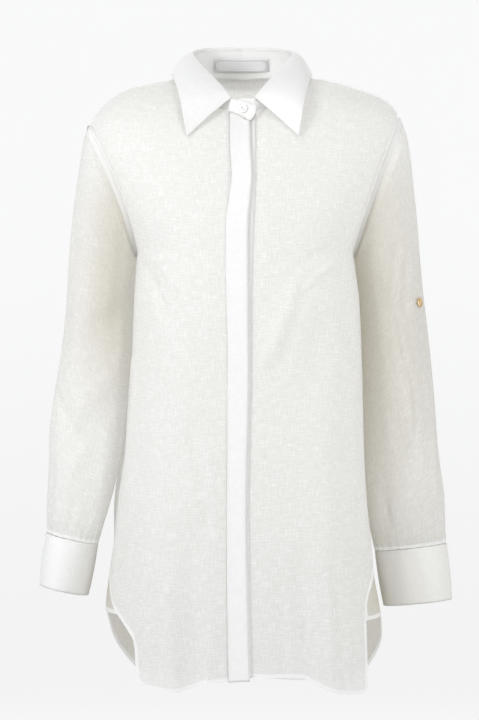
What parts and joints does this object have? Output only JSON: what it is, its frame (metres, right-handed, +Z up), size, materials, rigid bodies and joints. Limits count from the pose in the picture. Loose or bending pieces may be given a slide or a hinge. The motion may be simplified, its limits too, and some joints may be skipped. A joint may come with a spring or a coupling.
{
  "type": "linen shirt",
  "caption": "Long sheer linen shirt with a turned-down collar, covered button placket, roll-up sleeve tabs, deep cuffs and a curved hem, filled out as if worn.",
  "frame": {"origin": "middle of the wearer's neck, level with the highest point of the shoulders", "axes": "+X to the wearer's left, -Y out of the front, +Z up"},
  "size_m": [0.5393, 0.2708, 0.8521],
  "materials": {
    "sheer_linen": "open slub weave, matt",
    "double_linen": "two layers, closer and whiter",
    "label_cloth": "woven tape, plain",
    "white_button": "glossy",
    "honey_button": "glossy, marbled"
  },
  "bodies": {
    "root": {"front_right": "sheer_linen", "front_left": "sheer_linen", "back": "sheer_linen", "yoke": "sheer_linen", "sleeve_right": "sheer_linen", "sleeve_left": "sheer_linen", "sleeve_tab_right": "sheer_linen", "sleeve_tab_left": "sheer_linen", "cuff_right": "double_linen", "cuff_left": "double_linen", "collar_stand": "double_linen", "collar": "double_linen", "placket_band": "double_linen", "button_stand": "double_linen", "armhole_band_right": "double_linen", "armhole_band_left": "double_linen", "label": "label_cloth", "collar_button": "white_button", "cuff_button_right": "white_button", "cuff_button_left": "white_button", "sleeve_button_right": "honey_button", "sleeve_button_left": "honey_button"}
  },
  "joints": []
}
